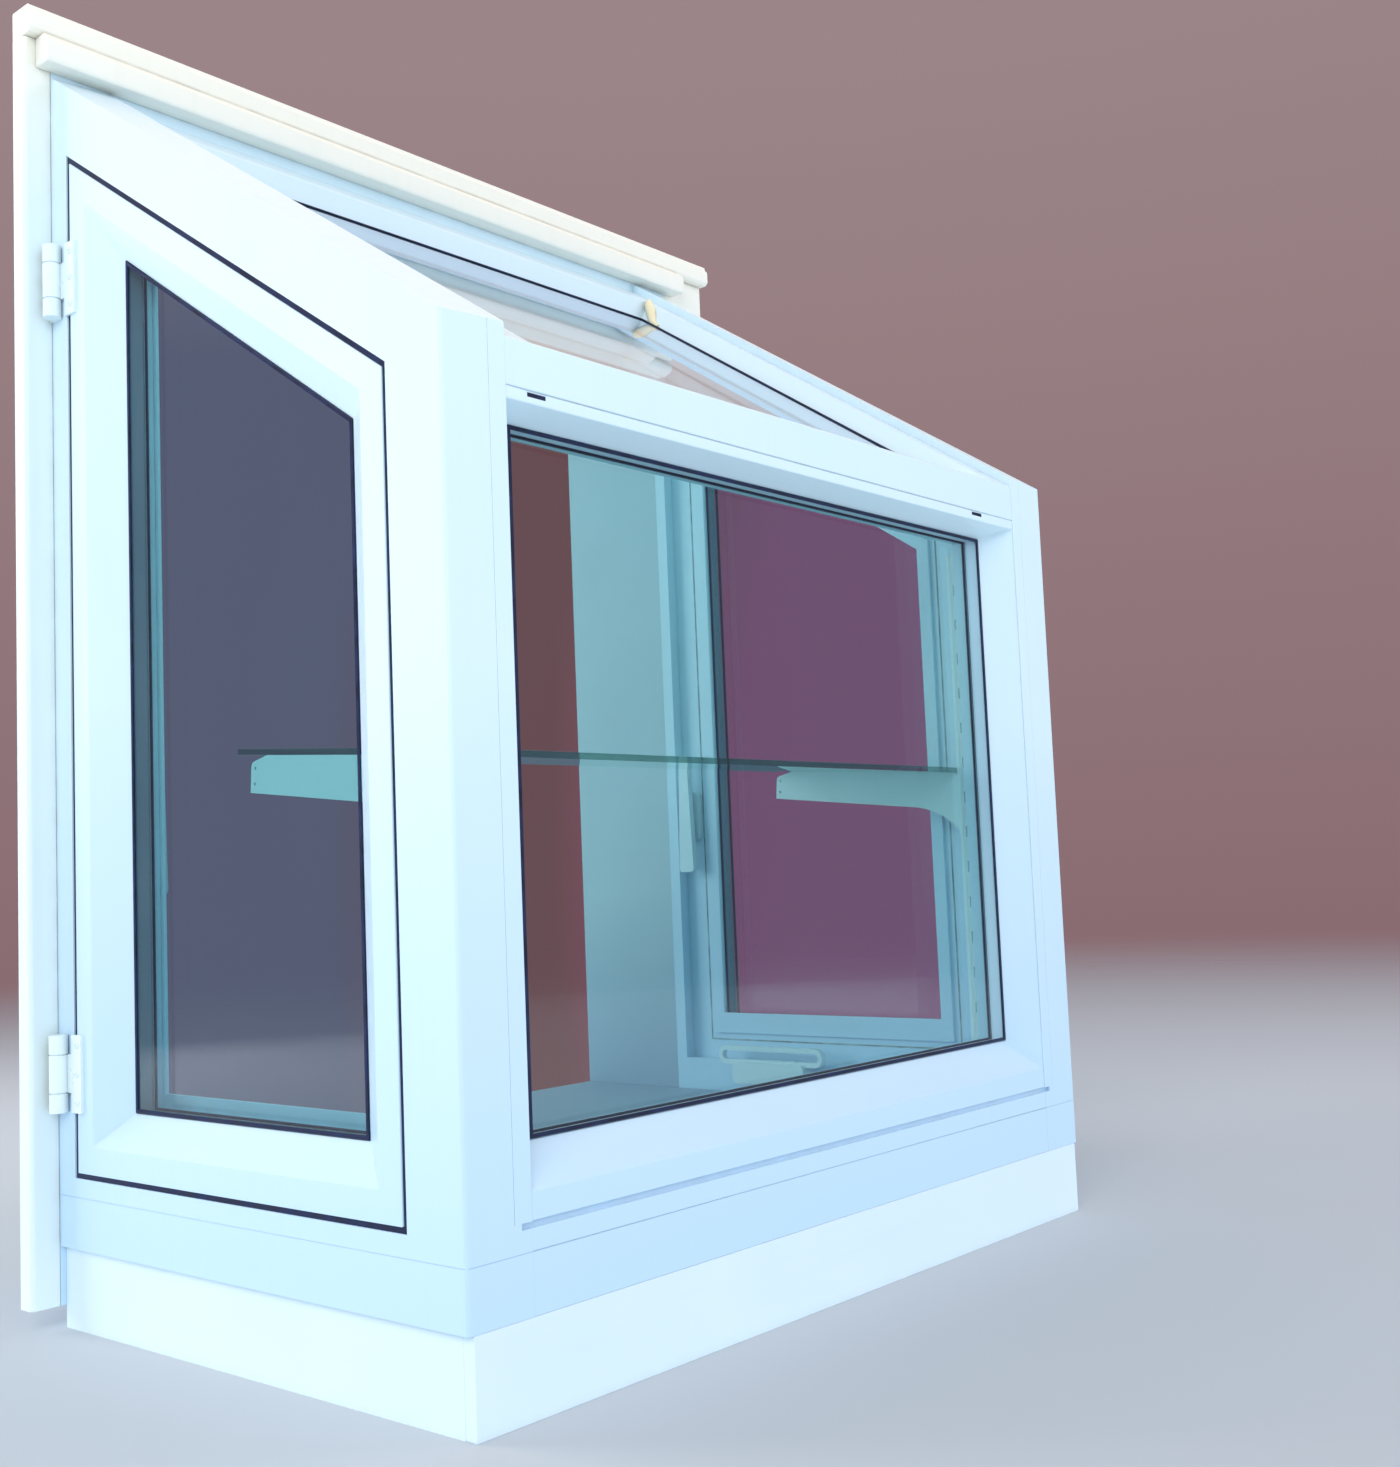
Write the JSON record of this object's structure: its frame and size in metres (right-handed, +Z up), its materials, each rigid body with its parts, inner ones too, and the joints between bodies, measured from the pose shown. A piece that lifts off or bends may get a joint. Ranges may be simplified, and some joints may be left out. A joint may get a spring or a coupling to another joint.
{
  "type": "garden window",
  "caption": "Wall-hung garden window: white vinyl box with a sloping glass roof, a fixed front pane, side casements, a glass shelf and a skirt below.",
  "frame": {"origin": "on the back face of the wall frame, in the middle of its sill strip, level with the underside of the side frames", "axes": "+X to the right seen from outside, +Y into the house and out of the wall frame's back face, +Z up"},
  "size_m": [1.0249, 0.704, 1.2707],
  "materials": {
    "vinyl": "satin extruded vinyl",
    "trim": "aged cream-white cellular trim",
    "skirt": "plain satin fascia board",
    "lining": "white laminate lining",
    "glass": "clear sealed double glazing",
    "shelf_glass": "clear plate with green edges",
    "gasket": "black glazing gasket",
    "hinge": "white enamel",
    "bracket": "white enamel",
    "handle": "white enamel"
  },
  "bodies": {
    "root": {"base_panel": "lining", "casing_head": "trim", "casing_left": "trim", "casing_right": "trim", "crank_operator_left": "handle", "crank_operator_right": "handle", "front_frame": "vinyl", "front_sill": "vinyl", "gasket_front": "gasket", "gasket_left": "gasket", "gasket_right": "gasket", "gasket_roof": "gasket", "glass_front": "glass", "glass_left": "glass", "glass_right": "glass", "glass_roof": "glass", "glazing_bead_front": "vinyl", "glazing_bead_left": "vinyl", "glazing_bead_right": "vinyl", "glazing_bead_roof": "vinyl", "head_cap": "trim", "head_jamb": "lining", "hinge_lower_left": "hinge", "hinge_lower_right": "hinge", "hinge_upper_left": "hinge", "hinge_upper_right": "hinge", "jamb_left": "lining", "jamb_right": "lining", "lock_handle_left": "handle", "lock_handle_right": "handle", "roof_frame": "vinyl", "sash_left": "vinyl", "sash_right": "vinyl", "seat_board": "lining", "shelf_bracket_left": "bracket", "shelf_bracket_right": "bracket", "shelf_glass": "shelf_glass", "shelf_standard_left": "bracket", "shelf_standard_right": "bracket", "side_frame_left": "vinyl", "side_frame_right": "vinyl", "skirt_front": "skirt", "skirt_left": "skirt", "skirt_right": "skirt", "wall_frame": "vinyl"}
  },
  "joints": []
}
